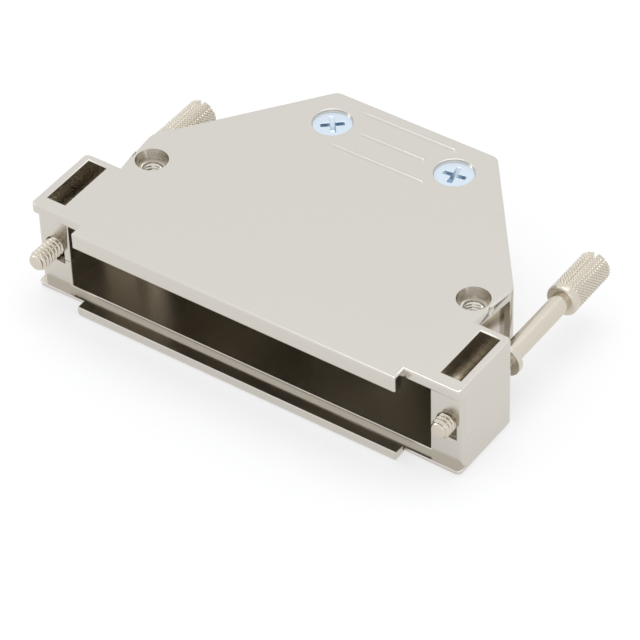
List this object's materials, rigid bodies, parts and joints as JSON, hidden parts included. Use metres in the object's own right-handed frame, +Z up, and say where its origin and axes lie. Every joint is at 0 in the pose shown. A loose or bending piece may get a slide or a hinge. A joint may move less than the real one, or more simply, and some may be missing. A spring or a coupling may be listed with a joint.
{
  "type": "d-sub hood",
  "caption": "Nickel-plated two-part metal hood for a D-sub connector, with slanted sides, cross-recess shell screws and captive knurled jackscrews.",
  "frame": {"origin": "on the underside, midway between the ears, in the plane of the ears' front lips", "axes": "+X across the mouth towards the right jackscrew, +Y from the mouth towards the cable exit, +Z up towards the ribbed face with the screw heads"},
  "size_m": [0.069, 0.0455, 0.0152],
  "materials": {
    "nickel_cast": "satin nickel plate on a zinc die-casting",
    "nickel_turned": "nickel plate on turned metal",
    "blue_zinc": "pale blue zinc plate",
    "spring_steel": "plated spring steel",
    "saddle_steel": "plated pressed steel"
  },
  "bodies": {
    "hood": {"upper_shell": "nickel_cast", "lower_shell": "nickel_cast", "shell_screw_left": "blue_zinc", "shell_screw_right": "blue_zinc", "cable_saddle": "saddle_steel", "saddle_screw_left": "blue_zinc", "saddle_screw_right": "blue_zinc", "blanking_plug_left": "nickel_cast", "blanking_plug_right": "nickel_cast"},
    "ring_left": {"retaining_ring_left": "spring_steel"},
    "ring_right": {"retaining_ring_right": "spring_steel"},
    "jackscrew_left": {"jackscrew_left": "nickel_turned"},
    "jackscrew_right": {"jackscrew_right": "nickel_turned"}
  },
  "joints": [
    {"name": "left_float", "type": "slide", "parent": "hood", "child": "ring_left", "axis": [0, 1, 0], "range_m": [0, 0.0039]},
    {"name": "left_spin", "type": "hinge", "parent": "ring_left", "child": "jackscrew_left", "pos_m": [-0.03175, 0, 0.00775], "axis": [0, 1, 0], "continuous": true},
    {"name": "right_float", "type": "slide", "parent": "hood", "child": "ring_right", "axis": [0, 1, 0], "range_m": [-0.0023, 0.0016]},
    {"name": "right_spin", "type": "hinge", "parent": "ring_right", "child": "jackscrew_right", "pos_m": [0.03175, 0, 0.00775], "axis": [0, 1, 0], "continuous": true}
  ]
}
